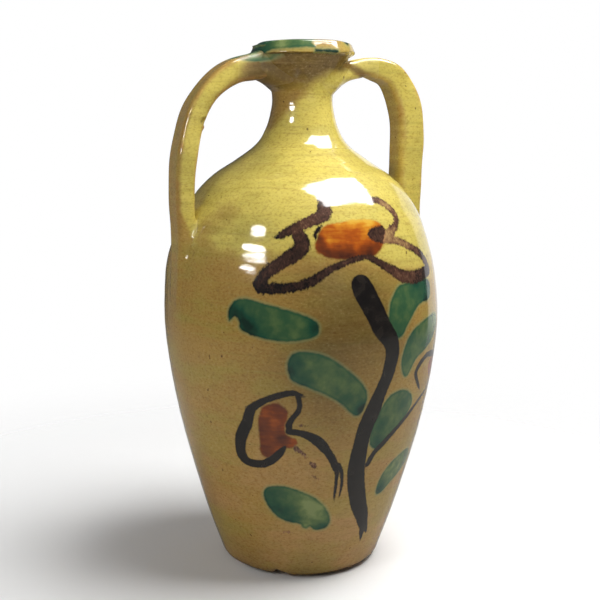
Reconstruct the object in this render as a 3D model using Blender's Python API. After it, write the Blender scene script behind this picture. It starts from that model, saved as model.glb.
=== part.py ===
"""Two-handled glazed earthenware jar, as the clay pieces that a potter throws, pulls and lutes together.

Frame: metres, +Z up, origin at the centre of the underside. The two handles lie along X, the left one at -X,
and the painted front faces -Y. Lengths below are in millimetres and are scaled once, where vertices are made.

The jar is built from the bottom up: a base disc, a lower and an upper body thrown apart and joined at the
belly, a thrown neck, a lip ring, two pulled strap handles, and a wad of clay under each handle at the neck.
Turned pieces meet in a luting seam, a V-shaped tongue that sits in a V-shaped groove.
"""

import math

import bmesh
import bpy

MM = 0.001

# Driving dimensions, in millimetres.
HEIGHT = 380.0
BASE_RADIUS = 60.8
BASE_THICKNESS = 9.0
CONTACT_RADIUS = 54.0
BELLY_HEIGHT = 183.0
NECK_SEAM_HEIGHT = 306.0
RIM_UNDERSIDE = 369.8
RIM_RADIUS = 38.8
MOUTH_RADIUS = 27.0

BODY_WALL = 6.5
SHOULDER_WALL = 6.0
NECK_WALL = 5.0

CLEARANCE = 0.3
SEAM_GAP = 0.5
SEAM_DEPTH = 2.2
SEAM_HALF_WIDTH = 1.6

TURNED_SEGMENTS = 48
CORNER_STEPS = 4

# The outer wall between the base disc and the lip, as (radius, height) stations on one smooth curve.
WALL_STATIONS = (
    (BASE_RADIUS, BASE_THICKNESS),
    (62.9, 15.0),
    (71.5, 40.0),
    (82.0, 75.0),
    (91.0, 110.0),
    (97.6, 145.0),
    (101.4, 183.0),
    (98.6, 215.0),
    (92.6, 240.0),
    (84.2, 262.0),
    (71.5, 280.0),
    (56.5, 292.0),
    (42.0, 301.0),
    (31.0, 311.0),
    (25.0, 323.0),
    (21.8, 338.0),
    (23.0, 350.0),
    (27.0, 360.0),
    (33.0, RIM_UNDERSIDE),
)

# Each handle: the strap's centreline as (distance from the jar's axis, height), with its thickness there.
# A strap leaves the neck thick, thins over the arch and is wiped down flat onto the belly.
LEFT_STRAP = (
    (25.0, 361.5, 16.0),
    (40.0, 362.5, 16.5),
    (54.0, 358.5, 15.5),
    (66.0, 351.5, 13.6),
    (76.0, 341.5, 12.6),
    (84.0, 328.5, 12.6),
    (89.0, 312.0, 13.0),
    (93.0, 292.0, 13.2),
    (93.5, 270.0, 12.8),
    (92.4, 250.0, 12.4),
    (91.6, 236.0, 12.2),
    (92.0, 223.0, 12.0),
)
RIGHT_STRAP = (
    (27.0, 357.0, 16.5),
    (42.0, 363.5, 15.5),
    (57.0, 364.5, 14.5),
    (70.5, 360.0, 15.0),
    (79.5, 348.0, 16.6),
    (85.0, 333.0, 17.5),
    (87.0, 315.0, 18.0),
    (86.5, 295.0, 17.4),
    (86.0, 270.0, 16.0),
    (87.0, 250.0, 15.4),
    (88.5, 236.0, 15.0),
    (90.5, 223.0, 14.6),
)
LEFT_STRAP_WIDTH = 21.5
RIGHT_STRAP_WIDTH = 22.5
STRAP_CORNER = 4.0
STRAP_RINGS_PER_STATION = 3

# The handles were set by eye, so they aren't quite opposite each other. Degrees from +X, seen from above.
LEFT_AZIMUTH = 181.5
RIGHT_AZIMUTH = -3.5

# The wad under each handle: its concave face, from the neck out to the strap's underside.
LEFT_WAD_FACE = ((20.0, 339.0), (24.2, 345.0), (28.4, 350.0), (34.0, 353.4), (40.0, 355.6))
RIGHT_WAD_FACE = ((20.0, 337.0), (24.6, 342.5), (31.0, 348.0), (40.0, 353.6), (49.0, 358.6))
WAD_WIDTH = 17.0
WAD_TOP = 362.0
WAD_BEVEL = 2.5


# --- Curves and outlines ---------------------------------------------------------------------------------------


def smooth_curve(stations, steps):
    """Catmull-Rom curve through the stations, with this many steps between neighbours."""
    first = [2 * a - b for a, b in zip(stations[0], stations[1])]
    last = [2 * a - b for a, b in zip(stations[-1], stations[-2])]
    points = [first, *stations, last]
    curve = []
    for before, start, end, after in zip(points, points[1:], points[2:], points[3:]):
        for step in range(steps):
            t = step / steps
            curve.append(
                tuple(
                    0.5 * (2 * s + (e - b) * t + (2 * b - 5 * s + 4 * e - a) * t**2 + (3 * s - b - 3 * e + a) * t**3)
                    for b, s, e, a in zip(before, start, end, after)
                )
            )
    return curve + [tuple(stations[-1])]


WALL_CURVE = smooth_curve(WALL_STATIONS, 8)


def wall_radius(height):
    """Outer radius of the jar's wall at this height."""
    for (r0, z0), (r1, z1) in zip(WALL_CURVE, WALL_CURVE[1:]):
        if height <= z1:
            return r0 + (r1 - r0) * (height - z0) / (z1 - z0)
    return WALL_CURVE[-1][0]


def skin_radius(height, depth):
    """Radius of the surface that lies this deep inside the wall, or outside it where depth is negative."""
    reach = 1.0
    slope = (wall_radius(height + reach) - wall_radius(height - reach)) / (2 * reach)
    return wall_radius(height) - depth * math.hypot(1.0, slope)


def levels(low, high, count):
    """Evenly spaced heights, both ends included."""
    return [low + (high - low) * i / (count - 1) for i in range(count)]


def skin(heights, depth):
    return [(skin_radius(z, depth), z) for z in heights]


def tongue(height, wall):
    """The seam under an upper piece, from its inner to its outer edge, halfway through a wall this thick."""
    middle = (wall_radius(height) + skin_radius(height, wall)) / 2
    z = height + SEAM_GAP / 2
    return [(middle - SEAM_HALF_WIDTH, z), (middle, z - SEAM_DEPTH), (middle + SEAM_HALF_WIDTH, z)]


def groove(height, wall):
    """The seam on top of a lower piece, from its outer to its inner edge, which lies under the tongue."""
    return [(r, z - SEAM_GAP) for r, z in reversed(tongue(height, wall))]


# --- Solids ----------------------------------------------------------------------------------------------------


def material(name, colour, roughness):
    made = bpy.data.materials.new(name)
    made.use_nodes = True
    shader = made.node_tree.nodes["Principled BSDF"]
    shader.inputs["Base Color"].default_value = (*colour, 1.0)
    shader.inputs["Roughness"].default_value = roughness
    shader.inputs["Metallic"].default_value = 0.0
    return made


def add_object(name, mesh, finish):
    """Turns a bmesh in millimetres into an object in metres, shaded smooth up to 40 degrees."""
    bmesh.ops.scale(mesh, vec=(MM, MM, MM), verts=mesh.verts)
    bmesh.ops.recalc_face_normals(mesh, faces=mesh.faces)
    data = bpy.data.meshes.new(name)
    mesh.to_mesh(data)
    mesh.free()
    data.shade_smooth()
    data.set_sharp_from_angle(angle=math.radians(40))
    made = bpy.data.objects.new(name, data)
    bpy.context.scene.collection.objects.link(made)
    if finish:
        data.materials.append(finish)
    return made


def turned(name, outline, finish=None):
    """Spins a (radius, height) outline about Z. An outline that starts and ends on the axis is left open there."""
    mesh = bmesh.new()
    points = [mesh.verts.new((r, 0.0, z)) for r, z in outline]
    on_axis = outline[0][0] == 0.0 and outline[-1][0] == 0.0
    ends = points[1:] if on_axis else points[1:] + points[:1]
    edges = [mesh.edges.new(pair) for pair in zip(points, ends)]
    bmesh.ops.spin(
        mesh,
        geom=points + edges,
        cent=(0, 0, 0),
        axis=(0, 0, 1),
        angle=2 * math.pi,
        steps=TURNED_SEGMENTS,
        use_merge=True,
    )
    bmesh.ops.remove_doubles(mesh, verts=mesh.verts, dist=0.001)
    return add_object(name, mesh, finish)


def strap_ring(thickness, width):
    """Cross-section of a strap as (outward, sideways) points, a rectangle with round corners."""
    corner = min(STRAP_CORNER, 0.45 * thickness)
    ring = []
    for quarter, (out, side) in enumerate(((1, 1), (-1, 1), (-1, -1), (1, -1))):
        for step in range(CORNER_STEPS):
            angle = (quarter + step / (CORNER_STEPS - 1)) * math.pi / 2
            ring.append(
                (
                    out * (thickness / 2 - corner) + corner * math.cos(angle),
                    side * (width / 2 - corner) + corner * math.sin(angle),
                )
            )
    return ring


def strap(name, stations, width, azimuth, grow=0.0, finish=None):
    """A pulled strap: rings across its centreline, joined and capped. grow makes it fatter all round."""
    curve = smooth_curve(stations, STRAP_RINGS_PER_STATION)
    mesh = bmesh.new()
    rings = []
    for i, (reach, height, thickness) in enumerate(curve):
        before, after = curve[max(i - 1, 0)], curve[min(i + 1, len(curve) - 1)]
        along = math.hypot(after[0] - before[0], after[1] - before[1])
        out_reach = -(after[1] - before[1]) / along
        out_height = (after[0] - before[0]) / along
        rings.append(
            [
                mesh.verts.new((reach + out * out_reach, side, height + out * out_height))
                for out, side in strap_ring(thickness + 2 * grow, width + 2 * grow)
            ]
        )
    for ring, following in zip(rings, rings[1:]):
        for i in range(len(ring)):
            j = (i + 1) % len(ring)
            mesh.faces.new((ring[i], ring[j], following[j], following[i]))
    mesh.faces.new(rings[0][::-1])
    mesh.faces.new(rings[-1])
    made = add_object(name, mesh, finish)
    made.rotation_euler.z = math.radians(azimuth)
    return made


def wad(name, face, azimuth, finish):
    """A wedge of clay in the corner between a strap and the neck, cut back later to touch both."""
    mesh = bmesh.new()
    face_curve = smooth_curve(face, 3)
    outline = [*face_curve, (face[-1][0], WAD_TOP), (face[0][0], WAD_TOP)]
    side = mesh.faces.new([mesh.verts.new((r, -WAD_WIDTH / 2, z)) for r, z in outline])
    grown = bmesh.ops.extrude_face_region(mesh, geom=[side])
    moved = [item for item in grown["geom"] if isinstance(item, bmesh.types.BMVert)]
    bmesh.ops.translate(mesh, vec=(0, WAD_WIDTH, 0), verts=moved)
    face_edges = [
        edge
        for edge in mesh.edges
        if edge.verts[0].co.y == edge.verts[1].co.y and max(v.co.z for v in edge.verts) < WAD_TOP
    ]
    bmesh.ops.bevel(mesh, geom=face_edges, offset=WAD_BEVEL, segments=3, affect="EDGES", profile=0.5)
    made = add_object(name, mesh, finish)
    made.rotation_euler.z = math.radians(azimuth)
    return made


def cutter(made):
    """Marks an object as a cutting tool, which isn't part of the jar."""
    made.hide_render = True
    made.display_type = "WIRE"
    return made


def cut(made, tool):
    difference = made.modifiers.new("cut by " + tool.name, "BOOLEAN")
    difference.operation = "DIFFERENCE"
    difference.solver = "EXACT"
    difference.object = tool


# --- The jar ---------------------------------------------------------------------------------------------------


def base_disc(finish):
    """A flat disc whose edge stands as a short foot, with the groove that takes the wall's tongue."""
    top = BASE_THICKNESS - SEAM_GAP / 2
    outline = [
        (0.0, 0.0),
        (CONTACT_RADIUS, 0.0),
        (57.6, 1.4),
        (59.8, 4.4),
        (BASE_RADIUS, top),
        *groove(BASE_THICKNESS, BODY_WALL),
        (0.0, top),
    ]
    return turned("base_disc", outline, finish)


def wall_piece(name, low, high, low_wall, high_wall, rows, finish):
    """A thrown length of wall between two seams, its thickness changing evenly from bottom to top."""
    bottom, top = low + SEAM_GAP / 2, high - SEAM_GAP / 2
    outer = skin(levels(bottom, top, rows), 0.0)
    inner = []
    for z in levels(top, bottom, rows):
        share = (z - bottom) / (top - bottom)
        inner.append((skin_radius(z, low_wall + (high_wall - low_wall) * share), z))
    return turned(name, [*outer, *groove(high, high_wall), *inner, *tongue(low, low_wall)], finish)


def rim_ring(finish):
    """The lip: a thick flat-topped ring that overhangs the flared neck and funnels into the mouth."""
    bottom = RIM_UNDERSIDE + SEAM_GAP / 2
    outline = [
        (RIM_RADIUS - 0.6, bottom),
        (RIM_RADIUS, bottom + 1.0),
        (RIM_RADIUS - 0.7, HEIGHT - 4.0),
        (RIM_RADIUS - 2.2, HEIGHT - 1.2),
        (RIM_RADIUS - 4.0, HEIGHT),
        (MOUTH_RADIUS + 3.0, HEIGHT),
        (MOUTH_RADIUS + 0.8, HEIGHT - 1.4),
        (MOUTH_RADIUS - 0.6, HEIGHT - 4.5),
        (skin_radius(RIM_UNDERSIDE, NECK_WALL), bottom),
        *tongue(RIM_UNDERSIDE, NECK_WALL),
    ]
    return turned("rim_ring", outline, finish)


def envelope():
    """The outside of the whole turned jar with clearance round it, which trims the handles and wads."""
    wall = skin(levels(BASE_THICKNESS, RIM_UNDERSIDE - 2.0, 40), -CLEARANCE)
    outline = [
        (0.0, BASE_THICKNESS),
        *wall,
        (RIM_RADIUS + CLEARANCE, RIM_UNDERSIDE - 1.0),
        (RIM_RADIUS + CLEARANCE, HEIGHT + 1.0),
        (0.0, HEIGHT + 1.0),
    ]
    return cutter(turned("envelope_cutter", outline))


def handle_with_wad(side, stations, width, azimuth, face, pot, finish):
    """A strap and the wad under its upper end, both trimmed to the jar, and the wad trimmed to the strap."""
    handle = strap(f"handle_{side}", stations, width, azimuth, finish=finish)
    cut(handle, pot)
    fat_strap = cutter(strap(f"strap_cutter_{side}", stations, width, azimuth, grow=CLEARANCE))
    piece = wad(f"neck_wad_{side}", face, azimuth, finish)
    cut(piece, fat_strap)
    cut(piece, pot)


def build():
    for old in list(bpy.data.objects):
        bpy.data.objects.remove(old)
    bare_clay = material("bare_clay", (0.50, 0.27, 0.15), 0.85)
    honey_glaze = material("honey_glaze", (0.47, 0.31, 0.11), 0.12)
    green_glaze = material("green_glaze", (0.07, 0.20, 0.08), 0.10)

    base_disc(bare_clay)
    wall_piece("lower_body", BASE_THICKNESS, BELLY_HEIGHT, BODY_WALL, SHOULDER_WALL, 13, honey_glaze)
    wall_piece("upper_body", BELLY_HEIGHT, NECK_SEAM_HEIGHT, SHOULDER_WALL, SHOULDER_WALL, 15, honey_glaze)
    wall_piece("neck", NECK_SEAM_HEIGHT, RIM_UNDERSIDE, SHOULDER_WALL, NECK_WALL, 11, honey_glaze)
    rim_ring(green_glaze)

    pot = envelope()
    handle_with_wad("left", LEFT_STRAP, LEFT_STRAP_WIDTH, LEFT_AZIMUTH, LEFT_WAD_FACE, pot, honey_glaze)
    handle_with_wad("right", RIGHT_STRAP, RIGHT_STRAP_WIDTH, RIGHT_AZIMUTH, RIGHT_WAD_FACE, pot, honey_glaze)


build()
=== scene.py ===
"""Looks of the two-handled glazed jar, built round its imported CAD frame.

Lengths are in millimetres until a mesh, a camera or a light is made. Azimuths are degrees round the jar,
seen from above, from the painted front at -Y towards +X. Heights are above the underside.
"""

import math

import bpy
import numpy as np
from mathutils import Euler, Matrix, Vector


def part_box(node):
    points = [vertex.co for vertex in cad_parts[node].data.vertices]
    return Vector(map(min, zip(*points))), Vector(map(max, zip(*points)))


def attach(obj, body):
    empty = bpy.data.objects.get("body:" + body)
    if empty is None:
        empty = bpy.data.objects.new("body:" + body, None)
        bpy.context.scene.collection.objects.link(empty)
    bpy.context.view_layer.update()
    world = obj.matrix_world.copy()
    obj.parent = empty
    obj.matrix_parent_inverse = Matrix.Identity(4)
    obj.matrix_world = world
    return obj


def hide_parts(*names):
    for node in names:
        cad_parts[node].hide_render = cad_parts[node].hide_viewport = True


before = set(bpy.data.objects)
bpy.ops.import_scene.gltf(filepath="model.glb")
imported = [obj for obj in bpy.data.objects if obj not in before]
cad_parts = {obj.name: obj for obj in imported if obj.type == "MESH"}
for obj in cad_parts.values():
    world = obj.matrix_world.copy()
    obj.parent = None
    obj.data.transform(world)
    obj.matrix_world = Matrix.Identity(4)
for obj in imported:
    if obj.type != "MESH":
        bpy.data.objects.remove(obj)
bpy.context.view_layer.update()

MM = 0.001
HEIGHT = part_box("rim_ring")[1].z / MM
LIP_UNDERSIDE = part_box("neck")[1].z / MM + 0.25
LIP_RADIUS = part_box("rim_ring")[1].x / MM
BASE_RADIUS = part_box("base_disc")[1].x / MM
BASE_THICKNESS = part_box("base_disc")[1].z / MM + 0.25
BELLY_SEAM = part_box("lower_body")[1].z / MM + 0.25
NECK_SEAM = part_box("upper_body")[1].z / MM + 0.25

FRONT = -26.0  # the azimuth that the camera looks from
FAR = 20.0  # the paint distance of anything unpainted
PAINT_SHIFT = (0.2, -0.9)  # every mark moves by this much azimuth and height
rng = np.random.default_rng(11)


# --- The thrown outline, read from the frame -------------------------------------------------------------------


def skin_rings(node):
    """A thrown CAD piece's rings that lie on both skins, as (height, outer radius, inner radius)."""
    co = np.array([v.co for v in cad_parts[node].data.vertices]) / MM
    height = co[:, 2].round(2)
    radius = np.hypot(co[:, 0], co[:, 1])
    rings = [(z, radius[height == z].max(), radius[height == z].min()) for z in np.unique(height)]
    return [ring for ring in rings if ring[1] - ring[2] > 1.0]


def smooth_through(knots, values):
    """A function that follows the values smoothly from knot to knot."""
    slopes = np.gradient(values, knots)

    def curve(at):
        i = np.clip(np.searchsorted(knots, at) - 1, 0, len(knots) - 2)
        span = knots[i + 1] - knots[i]
        t = np.clip((at - knots[i]) / span, -0.5, 1.5)
        rise = (3 * t**2 - 2 * t**3) * (values[i + 1] - values[i])
        return values[i] + rise + span * ((t - 2 * t**2 + t**3) * slopes[i] + (t**3 - t**2) * slopes[i + 1])

    return curve


thrown = skin_rings("lower_body") + skin_rings("upper_body")[1:] + skin_rings("neck")[1:]
ring_heights, outer_radii, inner_radii = np.array(thrown).T
outer_radius = smooth_through(ring_heights, outer_radii)
inner_radius = smooth_through(ring_heights, inner_radii)

climb_heights = np.linspace(0.0, HEIGHT, 761)
climb_steps = np.hypot(np.diff(climb_heights), np.diff(outer_radius(climb_heights)))
climb_lengths = np.concatenate([[0.0], np.cumsum(climb_steps)])


def climb(height):
    """Distance up the wall to this height, along the outer skin."""
    return np.interp(height, climb_heights, climb_lengths)


def height_of_climb(length):
    return np.interp(length, climb_lengths, climb_heights)


def hand_thrown(azimuth, height):
    """How far the thrown wall strays from its true outline: uneven rounds, and the rings that fingers leave."""
    turn = np.radians(azimuth)
    oval = 0.30 * np.cos(2 * turn + 4.05) + 0.20 * np.cos(3 * turn + 6.07)
    wide_rings = 0.10 * np.sin(height / 2.15 + 0.5 * np.sin(turn + height / 40) + 1.7 * np.sin(height / 31))
    grip = np.interp(height, (0, 60, 200, 250, 275, 300, 330, 350), (0.2, 0.25, 0.3, 0.35, 0.9, 1.2, 0.5, 0.2))
    fine_rings = 0.028 * np.sin(height / 0.66 + 0.8 * np.sin(turn * 2 + height / 23) + 2.0 * np.sin(height / 9.0))
    lumps = 0.10 * np.sin(5 * turn + height / 17) * np.sin(height / 26 + 2 * turn)
    full = np.exp(-(((height - 185.0) / 45.0) ** 2))
    left = np.exp(-((((azimuth + 116.0 + 180.0) % 360.0 - 180.0) / 34.0) ** 2))
    swell = left * (2.0 * np.exp(-(((height - 226.0) / 24.0) ** 2)) - 0.7 * np.exp(-(((height - 105.0) / 60.0) ** 2)))
    return oval - 0.15 - 0.45 * full + swell + grip * (wide_rings + fine_rings) + lumps


def wall_radius(azimuth, height):
    """Outer radius of the finished wall. The strays die out at the foot and at the lip."""
    held = np.clip(np.minimum((height - 2.0) / 30.0, (LIP_UNDERSIDE + 6.0 - height) / 25.0), 0.0, 1.0)
    return outer_radius(height) + held * hand_thrown(azimuth, height)


def pot_gap(points):
    """Signed distance from the points to the jar's outer skin, and the skin's outward directions there."""
    x, y, z = points.T
    reach = np.hypot(x, y)
    azimuth = np.degrees(np.arctan2(x, -y))
    level = np.clip(z, 2.0, LIP_UNDERSIDE)
    slope = (outer_radius(level + 0.5) - outer_radius(level - 0.5)) / 1.0
    lean = 1 / np.hypot(1.0, slope)
    outward = np.stack([x / reach * lean, y / reach * lean, -slope * lean], -1)
    return (reach - wall_radius(azimuth, level)) * lean, outward


# --- Meshes ----------------------------------------------------------------------------------------------------


def add_piece(name, points, faces, sharp=50):
    """An object from points in millimetres, shaded smooth except across edges sharper than this."""
    mesh = bpy.data.meshes.new(name)
    mesh.from_pydata((np.asarray(points) * MM).tolist(), [], faces)
    mesh.validate()
    mesh.shade_smooth()
    mesh.set_sharp_from_angle(angle=math.radians(sharp))
    piece = bpy.data.objects.new(name, mesh)
    bpy.context.scene.collection.objects.link(piece)
    return piece


def ring_faces(rows, columns, closed):
    """Quads between rows of points that each run right round, and between the last and first row if closed."""
    row = np.arange(rows if closed else rows - 1)[:, None]
    column = np.arange(columns)[None, :]
    here, there = row * columns, (row + 1) % rows * columns
    following = (column + 1) % columns
    quads = np.stack([here + column, here + following, there + following, there + column], -1)
    return quads.reshape(-1, 4).tolist()


def lathe(name, outline, columns, shape):
    """Turns a closed (radius, height) outline. shape(azimuth, outline) gives each column's own outline."""
    azimuths = np.arange(columns) * 360.0 / columns - 180.0
    columns_of_points = []
    for azimuth in azimuths:
        radius, height = shape(azimuth, outline).T
        turn = math.radians(azimuth)
        columns_of_points.append(np.stack([radius * math.sin(turn), -radius * math.cos(turn), height], -1))
    points = np.stack(columns_of_points, 1)
    faces = ring_faces(len(outline), columns, closed=True)
    return add_piece(name, points.reshape(-1, 3), faces)


def seam(height, wall, depth=2.2, half_width=1.6):
    """The tongue and groove halfway through a luted wall, from its inner to its outer edge."""
    middle = (outer_radius(height) + inner_radius(height)) / 2
    return np.array([(middle - half_width, height), (middle, height - depth), (middle + half_width, height)])


def wall_outline(low, high, step):
    """Closed outline of a thrown wall between two seams: up the outside, and down the inside."""
    rows = int((climb(high) - climb(low)) / step)
    outside = height_of_climb(np.linspace(climb(low), climb(high), rows))
    inside = np.linspace(high, low, rows // 4)
    outer = np.stack([outer_radius(outside), outside], -1)
    inner = np.stack([inner_radius(inside), inside], -1)
    return np.concatenate([outer, seam(high, None)[::-1], inner, seam(low, None)]), rows


def thrown_wall(name, low, high, columns, step):
    """A thrown length of wall, with the potter's rings on both skins."""
    outline, rows = wall_outline(low, high, step)

    def shape(azimuth, points):
        shaped = points.copy()
        shaped[:rows, 0] = wall_radius(azimuth, points[:rows, 1])
        inner = slice(rows + 3, len(points) - 3)
        shaped[inner, 0] += 0.5 * hand_thrown(azimuth + 40, points[inner, 1])
        return shaped

    return lathe(name, outline, columns, shape)


# --- Paint, as distances from given strokes --------------------------------------------------------------------


def closed_curve(points, steps=6):
    """Smooth closed curve through the points."""
    p = np.asarray(points, float)
    before, after, beyond = np.roll(p, 1, 0), np.roll(p, -1, 0), np.roll(p, -2, 0)
    t = (np.arange(steps) / steps)[None, :, None]
    p, before, after, beyond = p[:, None], before[:, None], after[:, None], beyond[:, None]
    curve = 2 * p + (after - before) * t + (2 * before - 5 * p + 4 * after - beyond) * t**2
    curve = 0.5 * (curve + (3 * p - before - 3 * after + beyond) * t**3)
    return curve.reshape(-1, curve.shape[-1])


def open_curve(points, steps=8):
    """Smooth curve through the points, from the first to the last."""
    p = np.asarray(points, float)
    padded = np.concatenate([2 * p[:1] - p[1:2], p, 2 * p[-1:] - p[-2:-1]])
    before, start, end, after = (padded[i : len(padded) - 3 + i][:, None] for i in range(4))
    t = (np.arange(steps) / steps)[None, :, None]
    curve = 2 * start + (end - before) * t + (2 * before - 5 * start + 4 * end - after) * t**2
    curve = 0.5 * (curve + (3 * start - before - 3 * end + after) * t**3)
    return np.concatenate([curve.reshape(-1, p.shape[-1]), p[-1:]])


def chart(azimuth, height, middle):
    """Flattens the wall round one azimuth: millimetres round it and up it."""
    turn = np.radians((azimuth - middle + 180.0) % 360.0 - 180.0)
    return np.stack([turn * outer_radius(height), climb(height)], -1)


def segment_gaps(points, starts, ends):
    """Distance from each point to each segment, and how far along the segment the nearest place is."""
    along = ends - starts
    to_point = points[:, None] - starts[None]
    share = (to_point * along).sum(-1) / np.maximum((along**2).sum(-1), 1e-9)
    share = np.clip(share, 0.0, 1.0)
    return np.linalg.norm(to_point - share[..., None] * along, axis=-1), share


class Paint:
    """Signed distances from the painted marks of one colour, negative inside them, and how heavy the colour is."""

    def __init__(self, azimuth, height):
        self.azimuth, self.height = azimuth, height
        self.gap = np.full(len(azimuth), FAR)
        self.load = np.zeros(len(azimuth))

    def near(self, mark, margin=6.0):
        """The wall's points near a mark, with the mark and the points laid flat."""
        middle = mark[:, 0].mean()
        flat_mark = chart(mark[:, 0], mark[:, 1], middle)
        flat = chart(self.azimuth, self.height, middle)
        low, high = flat_mark.min(0) - margin, flat_mark.max(0) + margin
        chosen = np.flatnonzero(((flat > low) & (flat < high)).all(1))
        return chosen, flat[chosen], flat_mark

    def keep(self, chosen, gap, load):
        closer = gap < self.gap[chosen]
        self.gap[chosen[closer]] = gap[closer]
        self.load[chosen[closer]] = load[closer]

    def stroke(self, points, load=1.0):
        """A brush stroke through (azimuth, height, width) points. load is one number, or one for each point."""
        loads = np.broadcast_to(load, len(points))
        path = open_curve(np.column_stack([points, loads]))
        chosen, flat, line = self.near(path, margin=path[:, 2].max() / 2 + 5.0)
        gaps, share = segment_gaps(flat, line[:-1], line[1:])
        width = path[:-1, 2] + share * np.diff(path[:, 2])
        gaps -= np.maximum(width, 0.3) / 2
        nearest = gaps.argmin(1)
        row = np.arange(len(chosen))
        heavy = path[nearest, 3] + share[row, nearest] * (path[nearest + 1, 3] - path[nearest, 3])
        self.keep(chosen, gaps[row, nearest], heavy)

    def patch(self, points, load=0.5, dabs=()):
        """A filled patch inside (azimuth, height) points. Each dab (azimuth, height, radius, load) shades it."""
        outline = closed_curve(points)
        chosen, flat, edge = self.near(outline)
        ends = np.roll(edge, -1, 0)
        gaps, _ = segment_gaps(flat, edge, ends)
        across = (edge[None, :, 1] > flat[:, 1:2]) != (ends[None, :, 1] > flat[:, 1:2])
        rise = np.where(ends[:, 1] == edge[:, 1], 1e-9, ends[:, 1] - edge[:, 1])
        crossing = edge[:, 0] + (flat[:, 1:2] - edge[:, 1]) / rise * (ends[:, 0] - edge[:, 0])
        inside = (across & (flat[:, :1] < crossing)).sum(1) % 2 == 1
        gap = gaps.min(1) * np.where(inside, -1.0, 1.0)
        heavy = np.full(len(chosen), float(load))
        for azimuth, height, radius, more in dabs:
            centre = chart(np.array([azimuth]), np.array([height]), outline[:, 0].mean())
            heavy += more * np.exp(-(((flat - centre) ** 2).sum(1)) / radius**2)
        self.keep(chosen, gap, heavy)


def paint_flower(paint):
    """Reddish-brown outline of the big open flower, in one broken line round its petals."""
    paint.stroke([(-17.5, 277, 2), (-16, 271, 8), (-16, 265, 10), (-21, 261, 8.5), (-28, 257, 7), (-34, 252, 5.5),
                  (-37.5, 249.5, 2)], (0.7, 0.6, 0.6, 0.55, 0.6, 0.8, 0.9))
    paint.stroke([(-28.5, 254, 8), (-26.5, 249, 9.5), (-26, 244, 10.5), (-29.5, 239, 10), (-35, 233, 9), (-40, 227, 8.5),
                  (-42.5, 220, 9)], (0.6, 0.75, 0.8, 0.75, 0.7, 0.8, 1.0))
    paint.stroke([(-42, 217.5, 8), (-36, 217.5, 7.5), (-30, 218.5, 6.5), (-25, 220.5, 6.5), (-20.5, 224, 6.5),
                  (-16, 229, 5.5), (-10, 233, 4.8), (-4, 236, 4.2), (2, 237, 3.5)],
                 (1.0, 0.95, 0.9, 0.85, 0.8, 0.75, 0.7, 0.75, 0.7))
    paint.stroke([(3, 236, 5), (8, 231.5, 6), (13, 227, 7.5), (18, 222.5, 9), (25, 221, 9), (32, 221.5, 9),
                  (38, 223, 9)], (0.7, 0.65, 0.6, 0.6, 0.6, 0.7, 0.9))
    paint.stroke([(11, 247.5, 5.5), (17, 246.5, 5.5), (22, 244, 5.5), (28, 240, 6), (34, 235.5, 6.5), (38.5, 229, 7),
                  (40, 223, 7)], (0.3, 0.25, 0.35, 0.45, 0.6, 0.7, 0.85))
    paint.stroke([(-17, 277, 2), (-10, 279, 4), (-2, 277, 3), (5, 272.5, 2), (9, 272.5, 4), (13, 273, 5.5), (17, 271, 5.5),
                  (21, 266, 5.5), (22.3, 261, 5.5), (20, 256, 6), (15.5, 252, 7), (12, 250, 6)],
                 (0.6, 0.5, 0.5, 0.5, 0.55, 0.5, 0.3, 0.28, 0.45, 0.45, 0.22, 0.2))
    paint.patch([(3, 251), (4.5, 254.5), (7, 255.7), (12, 256.5), (13, 252), (12, 247), (9, 245), (5, 247)], 0.72)
    paint.stroke([(-18, 256.5, 2.2), (-20, 253.5, 3.2), (-20.5, 249.5, 2)], 0.95)


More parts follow.
